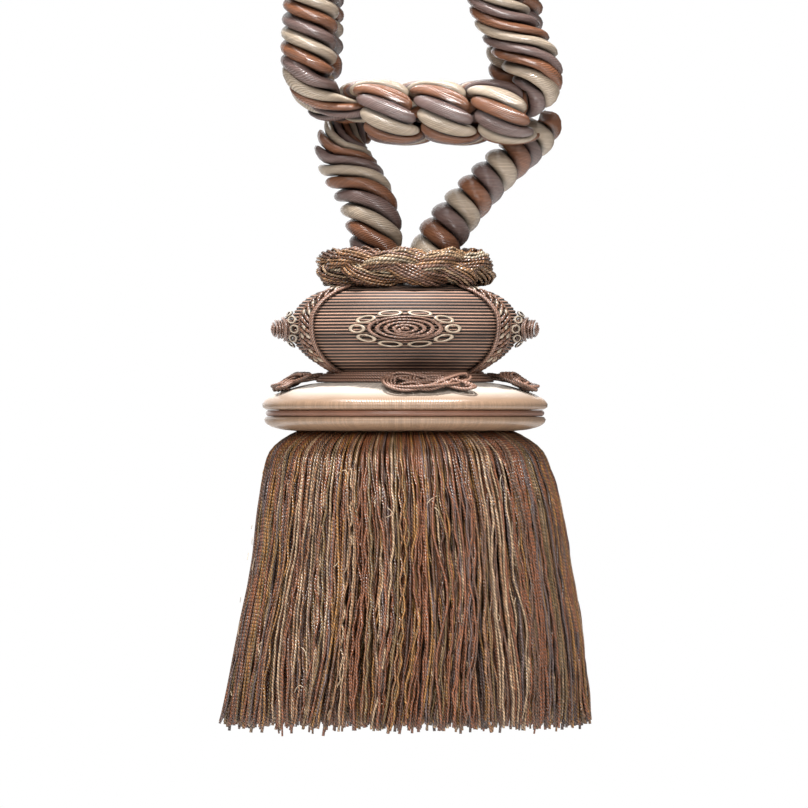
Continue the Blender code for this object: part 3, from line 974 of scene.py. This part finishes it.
def wound_ball():
    """The ball mould with its wound cord, one rounded row below another."""
    curve, _ = smooth_rows(BALL, step=0.1)
    pace = np.hypot(ROW_LEVEL_PACE * np.gradient(curve[:, 0]), np.gradient(curve[:, 1]))
    passed = np.concatenate([[0], np.cumsum(pace)[:-1]])
    count = round(passed[-1] / ROW_HEIGHT)
    row = np.arange(count * ROW_FACETS + 1) / ROW_FACETS
    radius = np.interp(row * passed[-1] / count, passed, curve[:, 0])
    drop = np.interp(row * passed[-1] / count, passed, curve[:, 1])
    dip = ROW_SINK * (1 - np.abs(np.sin(math.pi * row)))
    outline = [BALL_CROWN, (BALL_CROWN[0], BALL[0][1]), *zip(radius - dip, drop), BALL_FOOT]
    spun("head_ball_winding", outline, ball_cord, ("head_ball",), length=[0, 0, *row, row[-1]])


def ruff():
    """The wreath: three hanks of yarn plaited in a ring, its flat side outwards."""
    turn = np.linspace(math.pi, 3 * math.pi, RUFF["rows"], endpoint=False)
    azimuth = np.degrees(turn)
    rng = np.random.default_rng(3)
    sheets = []
    for hank in range(RUFF["hanks"]):
        swing = RUFF["plaits"] * turn + hank * 2 * math.pi / RUFF["hanks"] + RUFF["start"]
        middle_radius = RUFF["radius"] + RUFF["swing"] * np.sin(2 * swing)
        middle_drop = RUFF["drop"] + RUFF["rise"] * np.sin(swing)
        middle = round_spots(middle_radius, azimuth, middle_drop)
        for shell, (count, spread) in enumerate(RUFF_SHELLS):
            for yarn in range(count):
                wind = RUFF["turns"] * turn + 2 * math.pi * (yarn + 0.5 * shell) / count
                wobble = sum(
                    size * np.sin(rng.integers(fewest, most) * turn + rng.uniform(0, 2 * math.pi))
                    for fewest, most, size in RUFF_WOBBLES
                )
                radius = middle_radius + (spread * RUFF["half_wide"] + wobble) * np.cos(wind)
                drop = middle_drop + (spread * RUFF["half_high"] + wobble) * np.sin(wind)
                route = round_spots(radius, azimuth, drop)
                half = RUFF_YARN_HALF * MM * rng.uniform(*RUFF_YARN_SIZES)
                up = unit(route - middle)
                sheets.append(tube(route, half, up, RUFF_YARN_SIDES, rng.random(), closed=True))
    rolled("ruff_plait", sheets, ruff_yarn, ("ruff",))


def head_bands():
    """Four upright bands: three cords that frame a braid of short slanting stitches."""
    drops = np.linspace(*BAND_DROPS, BAND_ROWS)
    t = np.linspace(-1, 1, BRAID_STITCH_ROWS)
    for number, (azimuth, mirror) in enumerate(BANDS, 1):

        def laid(aside, drop, height):
            drawn = np.interp(drop, *zip(*BAND_DRAWN))
            return on_ball(azimuth + mirror * (aside + drawn), drop, height)

        sheets = []
        for k, (aside, tone, half) in enumerate(BAND_CORDS):
            route = laid(aside, drops, SEAT + half)
            up = outwards(route)
            sheets.append(tube(route, half * MM, up, CORD_SIDES, tone, ply=CORD_PLY * MM, start=k))
        for column, aside in enumerate(BRAID_COLUMNS):
            for row in range(BRAID_ROWS):
                share = (row + 0.5 * (column % 2)) / (BRAID_ROWS - 0.5)
                middle = BRAID_DROPS[0] + (BRAID_DROPS[1] - BRAID_DROPS[0]) * share
                height = SEAT + BRAID_STITCH_HIGH - BRAID_STITCH_BEND * t**2
                route = laid(aside - BRAID_LEAN * t, middle + BRAID_RUN * t, height)
                half = BRAID_STITCH_HALF * MM * (1 - BRAID_STITCH_TAPER * t**2)
                tone = BRAID_TONES[(row + 2 * column) % len(BRAID_TONES)]
                sheets.append(tube(route, half, outwards(route), CORD_SIDES, tone))
        rolled(f"head_band_{number}_braid", sheets, trim_cord, (f"head_band_{number}",))


def flower():
    """A medallion made flat and round: a stepped button of coiled cord with ten looped petals."""
    turns, radii, heights = zip(*BUTTON)
    coil = np.linspace(0, turns[-1], round(turns[-1] * BUTTON_FACETS))
    radius, turn = np.interp(coil, turns, radii), 2 * math.pi * coil
    height = np.interp(coil, turns, heights)
    route = np.stack([radius * np.cos(turn), radius * np.sin(turn), height], axis=-1)
    sheets = [tube(route, BUTTON_CORD_HALF, UPWARDS, CORD_SIDES, BUTTON_TONE, ply=CORD_PLY)]
    around = np.linspace(0, 2 * math.pi, PETAL_ROWS, endpoint=False)
    for petal in range(PETALS):
        way = 2 * math.pi * petal / PETALS
        out = PETAL_MIDDLE + PETAL_HALVES[0] * np.cos(around)
        along = PETAL_HALVES[1] * np.sin(around)
        x, y = out * math.cos(way) - along * math.sin(way), out * math.sin(way) + along * math.cos(way)
        ring = np.stack([x, y, PETAL_HEIGHT - PETAL_SLOPE * (out - PETAL_MIDDLE)], axis=-1)
        sheets.append(tube(ring, PETAL_CORD_HALF, UPWARDS, CORD_SIDES, PETAL_TONE, closed=True))
    return sheets


def laid_flower(sheet, azimuth, half_width):
    """One cord of the flat flower, laid on the ball and drawn out to the medallion's width."""
    places, lay, tone = sheet
    aside = np.degrees(places[..., 0] * half_width / FLOWER_RADIUS / BALL_RADIUS)
    drop = MEDALLION_DROP + places[..., 1] * MEDALLION_HALF_HIGH / FLOWER_RADIUS
    out = round_spots(1.0, azimuth, 0.0)
    return on_ball(azimuth + aside, drop, SEAT) + out * places[..., 2:], lay * (1, 1, MM), tone


def medallions():
    """The same flower on four sides of the ball, a little narrower on the left and right."""
    sheets = flower()
    for side, azimuth, half_width in MEDALLIONS:
        laid = [laid_flower(sheet, azimuth, half_width) for sheet in sheets]
        rolled(f"medallion_{side}_flower", laid, trim_cord, (f"medallion_{side}",))


def collar_cord(route, up, closed=True):
    return tube(route, COLLAR_CORD_HALF * MM, up, CORD_SIDES, COLLAR_TONE, closed=closed, ply=CORD_PLY * MM)


def out_and_up(route):
    return unit(outwards(route) + UPWARDS)


def knot_sheets(azimuth):
    """A flat knot: bundles of cords in wide loops through each other, and the cords that lead to it."""
    turn = np.linspace(0, 2 * math.pi, KNOT_ROWS, endpoint=False)
    sheets = []
    for width, depth, (asides, depths), start, offsets in KNOT_LOOPS:
        share = 0.5 + depth * np.sin(depths * turn)
        lift = KNOT_LIFT * np.sin((asides + depths) * turn + KNOT_LIFT_START)
        radius = KNOT_INNER[0] + share * (KNOT_OUTER[0] - KNOT_INNER[0])
        drop = KNOT_INNER[1] + share * (KNOT_OUTER[1] - KNOT_INNER[1]) - lift
        aside = np.degrees(width * np.sin(asides * turn + math.radians(start)) / radius)
        middle = round_spots(radius, azimuth + aside, drop)
        tangent = unit(np.roll(middle, -1, axis=0) - np.roll(middle, 1, axis=0))
        across = unit(np.cross(tangent, UPWARDS))
        sheets += [collar_cord(middle + across * offset * MM, out_and_up(middle)) for offset in offsets]
    reach = np.linspace(0, 1, KNOT_LEAD_ROWS)
    radius = KNOT_LEAD[0][0] + reach * (KNOT_LEAD[1][0] - KNOT_LEAD[0][0])
    drop = KNOT_LEAD[0][1] + reach**KNOT_LEAD_CURVE * (KNOT_LEAD[1][1] - KNOT_LEAD[0][1])
    for offset, lower in KNOT_LEADS:
        lead = round_spots(radius, azimuth + np.degrees(offset / radius), drop + lower)
        aside = round_spots(1.0, azimuth + 90 * np.sign(offset), 0.0)
        sheets.append(collar_cord(lead, unit(aside + np.array(UPWARDS) * MM), closed=False))
    return sheets


def collar():
    """Cords round the foot of the ball, and four flat knots at the ends of cords from it."""
    azimuths = np.linspace(180, 540, COLLAR_ROWS, endpoint=False)
    rounds = [round_spots(radius, azimuths, drop) for radius, drop in COLLAR_ROUNDS]
    sheets = [collar_cord(route, out_and_up(route)) for route in rounds]
    rolled("collar_cords", sheets, trim_cord, ("collar_cord",))
    for side, azimuth in COLLAR_KNOTS:
        node = f"collar_knot_{side}"
        rolled(f"{node}_cords", knot_sheets(azimuth), trim_cord, (node,))


def disc_pieces():
    """The disc mould under its floss, white on top in painted light and tan at the lip in painted shade, and
    the winding in its groove.
    """
    upper, _ = smooth_rows(DISC_UPPER, DISC_STEP)
    lower, _ = smooth_rows(DISC_LOWER, DISC_STEP)
    outline = [*upper, *DISC_GROOVE, *lower]
    # Painted light and shade: white on the top, turning tan towards the rim, and tan all over below the lip.
    tones = [SHADED_LIP_TONE if drop > SHADED_LIP_DROP else np.interp(radius, *PAINTED_LIGHT_RADII) for radius, drop in outline]
    spun("disc_floss", outline, disc_floss, ("disc",), tones=tones)
    spun("groove_winding", GROOVE_BAND, groove_satin, ("groove_band",), closed=True)


# ---------------------------------------------------------------- fringe

FRINGE_LAYERS = (  # name, yarns, share of the outline's radius, its root's share, rows of a yarn
    ("outer", 500, 0.985, 0.985, 40),
    ("second", 420, 0.94, 0.91, 30),
    ("third", 330, 0.87, 0.82, 20),
    ("inner", 240, 0.77, 0.7, 14),
    ("inmost", 180, 0.66, 0.6, 10),
)
FRINGE_TOP = 320.7
FRINGE_FOOT = 465.4
FRINGE_UNEVEN = 1.8  # of the cut
FRINGE_DRIFT = 3.0  # to the right, halfway down
FRINGE_FLARE = 8.0  # outwards, at most, at the two sides' feet
# Powers that keep the flare to the two sides, to few yarns and to their feet.
FLARE_SIDES = 10
FLARE_YARNS = 5
FLARE_FEET = 9
SKIRT_CURVE = smooth_rows(FRINGE_OUTLINE, step=1.0)[0]

YARN_HALF = 0.72
YARN_SIZES = (0.8, 1.15)  # the thinnest and the thickest, as shares of that
YARN_SIDES = 4
YARN_GATHER = 1.15  # a power: how much closer a yarn's rows stand at its root
YARN_OFF_LAYER = 0.012  # how far it hangs off its layer's radius, as a share
YARN_ROOT = 8  # its root is an eighth of it, where it comes out from under the disc
YARN_LEAN = 1.7
YARN_WAVES = ((0.95, 6, 16), (0.36, 20, 50), (0.24, 50, 85))  # size, and radians in a yarn's length
WAVES_GROW = 5  # they come in over the first fifth of it
RIPPLE = 0.5  # in and out
RIPPLE_PACES = (8, 40)
ANY_START = (0, 6.28)  # of a wave, in radians

STRAY_SHARE = 0.05  # of the outer yarns, which lean and wave more than the others
STRAY_OUT = 0.012  # further out, as a share
STRAY_LEAN = 3.2
STRAY_WAVES = 1.4
CLUMPS = 110
CLUMP_PULL = 0.22  # the share of the way to its clump that a yarn has gone at its foot
CLUMP_CURVE = 0.7  # below 1, most of it near the root
SWEEPS = 7  # slow waves that run through the whole skirt
SWEEPS_ROUND = (3, 17)  # at least, and below how many of one go round the skirt
SWEEP_PACES = (1, 9)  # radians in a yarn's length
SWEEP_SIZES = (0.5, 1.3)
SWEEP_CURVE = 0.8

FUZZ_FIBRES = 60
FUZZ_ROWS = 9
FUZZ_DROPS = (335.0, 460.0)
FUZZ_REACH = (1.5, 8.0)
FUZZ_BEND = 0.3
FUZZ_HALF = 0.14
FUZZ_OUT = 0.4


def skirt_radius(drop):
    """How far out the skirt's outline is at that drop."""
    return np.interp(drop, SKIRT_CURVE[:, 0], SKIRT_CURVE[:, 1])


def hanging_yarn(rng, azimuth, t, share, root_share, may_stray, clumps, sweeps):
    """One yarn of the skirt, where t goes from 0 at its root to 1 at its cut end."""
    foot = FRINGE_FOOT + rng.normal(0, FRINGE_UNEVEN)
    drop = FRINGE_TOP + t * (foot - FRINGE_TOP)
    stray = may_stray and rng.random() < STRAY_SHARE
    own_share = share + rng.normal(0, YARN_OFF_LAYER) + STRAY_OUT * stray
    radius = skirt_radius(drop) * (root_share + (own_share - root_share) * np.minimum(1, t * YARN_ROOT))
    to_clumps = (clumps - azimuth + 180) % 360 - 180
    pull = CLUMP_PULL * to_clumps[np.argmin(np.abs(to_clumps))] * t**CLUMP_CURVE
    aside = 0
    for times, pace, start, size in sweeps:
        aside = aside + size * np.sin(math.radians(azimuth) * times + pace * t + start)
    aside = aside * t**SWEEP_CURVE + rng.normal(0, STRAY_LEAN if stray else YARN_LEAN) * t
    for size, slow, fast in YARN_WAVES:
        wave = np.sin(t * rng.uniform(slow, fast) + rng.uniform(*ANY_START)) * np.minimum(1, t * WAVES_GROW)
        aside = aside + rng.normal(0, size * (STRAY_WAVES if stray else 1)) * wave
    ripple = rng.normal(0, RIPPLE) * np.sin(t * rng.uniform(*RIPPLE_PACES) + rng.uniform(*ANY_START))
    side_share = abs(math.sin(math.radians(azimuth))) ** FLARE_SIDES
    ripple = ripple + FRINGE_FLARE * side_share * rng.random() ** FLARE_YARNS * t**FLARE_FEET
    route = round_spots(radius + ripple, azimuth + pull + np.degrees(aside / radius), drop)
    route[:, 0] += FRINGE_DRIFT * MM * np.sin(math.pi * t)
    half = YARN_HALF * MM * rng.uniform(*YARN_SIZES)
    return tube(route, half, outwards(route[0]), YARN_SIDES, rng.random())


def fringe():
    """The skirt: five layers of cut yarns on a heading, the outermost in place of the solid."""
    spun("fringe_heading", FRINGE_HEADING, fringe_yarn, closed=True)
    rng = np.random.default_rng(7)
    clumps = np.sort(rng.uniform(0, 360, CLUMPS))
    sweeps = []
    for _ in range(SWEEPS):
        times, pace = rng.integers(*SWEEPS_ROUND), rng.uniform(*SWEEP_PACES)
        sweeps.append((times, pace, rng.uniform(*ANY_START), rng.uniform(*SWEEP_SIZES)))
    for name, count, share, root_share, rows in FRINGE_LAYERS:
        outermost = name == "outer"
        t = np.linspace(0, 1, rows) ** YARN_GATHER
        sheets = []
        for number in range(count):
            azimuth = 360 * (number + rng.uniform(-0.5, 0.5)) / count
            sheets.append(hanging_yarn(rng, azimuth, t, share, root_share, outermost, clumps, sweeps))
        rolled(f"fringe_{name}", sheets, fringe_yarn, ("skirt",) if outermost else ())


def fringe_fuzz():
    """Fine light fibres that have worked loose, and cling to the skirt."""
    rng = np.random.default_rng(11)
    share = np.linspace(-0.5, 0.5, FUZZ_ROWS)
    sheets = []
    for _ in range(FUZZ_FIBRES):
        azimuth, drop, way = rng.uniform(0, 360), rng.uniform(*FUZZ_DROPS), rng.uniform(0, math.pi)
        reach, bend = rng.uniform(*FUZZ_REACH), rng.normal(0, FUZZ_BEND)
        onwards, bowed = reach * share, bend * reach * (1 - 4 * share**2)
        aside = onwards * math.cos(way) - bowed * math.sin(way)
        lower = drop + onwards * math.sin(way) + bowed * math.cos(way)
        radius = skirt_radius(lower) + FUZZ_OUT
        route = round_spots(radius, azimuth + np.degrees(aside / radius), lower)
        sheets.append(tube(route, FUZZ_HALF * MM, outwards(route), YARN_SIDES, 0.0))
    rolled("fringe_fuzz", sheets, loose_fibre)


# ---------------------------------------------------------------- stage

CAMERA_AWAY = 5.61
CAMERA_LENS = 500.0
CAMERA_SENSOR = 36.0
VIEW_X = -0.5
VIEW_DROP = 307.0
FLOOR_DROP = 620.0
FLOOR_RADIUS = 1.2
FLOOR_FACETS = 96
FLOOR_ROUGHNESS = 0.8
BACKDROP_LIGHT = 1.0  # as the camera sees it
ROOM_LIGHT = 0.2  # that it gives the tassel
LAMPS = (  # name, place, size across, power
    ("key", (-0.15, -1.2, 0.4), 0.7, 11.0),
    ("top", (-0.05, -0.3, 1.15), 0.18, 36.0),
    ("rim", (0.1, 0.75, 1.0), 0.35, 7.0),
    ("fill", (0.9, -1.5, -0.4), 1.0, 3.0),
    ("back", (-0.3, 1.6, 0.1), 1.4, 9.0),
)
LAMPS_AIM = (0.0, 0.0, -0.28)


def camera():
    """Far in front of the tassel, level, with a long lens."""
    data = bpy.data.cameras.new("camera")
    data.lens = CAMERA_LENS
    data.sensor_width = CAMERA_SENSOR
    made = bpy.data.objects.new("camera", data)
    made.location = (VIEW_X * MM, -CAMERA_AWAY, -VIEW_DROP * MM)
    made.rotation_euler = (math.pi / 2, 0, 0)
    bpy.context.scene.collection.objects.link(made)
    bpy.context.scene.camera = made


def lights():
    """Soft lamps, and a white backdrop that gives little light itself."""
    scene = bpy.context.scene
    scene.view_settings.view_transform = "Standard"
    world = bpy.data.worlds.new("studio")
    world.use_nodes = True
    nodes, links = world.node_tree.nodes, world.node_tree.links
    backdrop, room = nodes["Background"], nodes.new("ShaderNodeBackground")
    for light, strength in ((backdrop, BACKDROP_LIGHT), (room, ROOM_LIGHT)):
        light.inputs["Color"].default_value = (1, 1, 1, 1)
        light.inputs["Strength"].default_value = strength
    path, choose = nodes.new("ShaderNodeLightPath"), nodes.new("ShaderNodeMixShader")
    links.new(path.outputs["Is Camera Ray"], choose.inputs[0])
    links.new(room.outputs[0], choose.inputs[1])
    links.new(backdrop.outputs[0], choose.inputs[2])
    links.new(choose.outputs[0], nodes["World Output"].inputs["Surface"])
    scene.world = world
    for name, place, size, power in LAMPS:
        data = bpy.data.lights.new(name, "AREA")
        data.shape = "DISK"
        data.size = size
        data.energy = power
        lamp = bpy.data.objects.new(name, data)
        lamp.location = place
        lamp.rotation_mode = "QUATERNION"
        lamp.rotation_quaternion = Vector(np.subtract(LAMPS_AIM, place)).to_track_quat("-Z", "Y")
        lamp.visible_camera = False
        scene.collection.objects.link(lamp)


def floor():
    """A pale round floor, well below the tassel."""
    pale = bpy.data.materials.new("pale floor")
    pale.use_nodes = True
    tree = pale.node_tree
    nodes, links = tree.nodes, tree.links
    shader = nodes["Principled BSDF"]
    shader.inputs["Base Color"].default_value = (*linear("floor"), 1.0)
    shader.inputs["Roughness"].default_value = FLOOR_ROUGHNESS
    # Seen from below, the floor lets the eye through and still throws back the light.
    path, surface = nodes.new("ShaderNodeLightPath"), nodes.new("ShaderNodeNewGeometry")
    both = math_node(tree, "MULTIPLY", path.outputs["Is Camera Ray"], surface.outputs["Backfacing"])
    clear, choose = nodes.new("ShaderNodeBsdfTransparent"), nodes.new("ShaderNodeMixShader")
    links.new(both, choose.inputs[0])
    links.new(shader.outputs[0], choose.inputs[1])
    links.new(clear.outputs[0], choose.inputs[2])
    links.new(choose.outputs[0], nodes["Material Output"].inputs["Surface"])
    solid = bmesh.new()
    bmesh.ops.create_circle(solid, cap_ends=True, segments=FLOOR_FACETS, radius=FLOOR_RADIUS)
    bmesh.ops.translate(solid, verts=solid.verts, vec=(0, 0, -FLOOR_DROP * MM))
    made = shown("floor", solid, pale)


# ---------------------------------------------------------------- the tassel

wound_threads = threads_group()
# Painted shade darkens these finishes between their threads and on sides beside neighbouring cords; the
# rope's also keeps sides that face upwards light, which is painted light.
rope_satin = cord_finish(
    "rope satin", ("mauve", "copper", "cream"), threads=34, per_metre=800, depth=0.22, rough=0.26,
    painted_gap_shade=0.38, spread=0.14, blotch=0.12, painted_flank_shade=0.9, painted_top_light=0.5,
)
# Painted shade: the ball's cord is dark in the dips between its rows.
ball_cord = cord_finish(
    "ball cord", ("blush",), threads=0, per_metre=1, depth=0.1, rough=0.65,
    painted_gap_shade=0.98, blotch=0.4, gap_width=5.5,
)
# Painted light and shade: the floss is white on its top and tan at its lip.
disc_floss = cord_finish(
    "disc floss", ("floss", "shaded lip"), threads=520, per_metre=0, depth=0.08, rough=0.3,
    painted_gap_shade=0.22, spread=0.14, blotch=0.08, blend=True,
)
groove_satin = cord_finish(
    "groove satin", ("satin brown",), threads=0, per_metre=2600, depth=0.06, rough=0.3,
    painted_gap_shade=0.25, spread=0.2,
)
fringe_yarn = cord_finish(
    "fringe yarn",
    ("rust", "gold", "ash", "rust", "beige", "tan", "walnut", "rust", "olive", "chestnut"),
    threads=2, per_metre=560, depth=0.32, rough=0.28, painted_gap_shade=0.72, spread=0.42, painted_flank_shade=0.45,
)
loose_fibre = cord_finish("loose fibre", ("ivory",), threads=1, per_metre=0, depth=0.02, rough=0.4, painted_gap_shade=0.1)
ruff_yarn = cord_finish(
    "ruff yarn", ("rose", "tan", "ivory", "beige", "straw", "chestnut"),
    threads=2, per_metre=500, depth=0.34, rough=0.28, painted_gap_shade=0.75, spread=0.42, painted_flank_shade=0.6,
)
trim_cord = cord_finish(
    "trim cord", ("chestnut", "rose", "walnut", "cream"),
    threads=2, per_metre=0, depth=0.15, rough=0.34, painted_gap_shade=0.7, spread=0.22, painted_flank_shade=0.6,
)

camera()
tieback_rope("front", LOOP_FRONT, -LOOP_Y)
tieback_rope("back", LOOP_BACK, LOOP_Y)
hanger_rope()
ruff()
wound_ball()
head_bands()
medallions()
collar()
disc_pieces()
fringe()
fringe_fuzz()
floor()
lights()
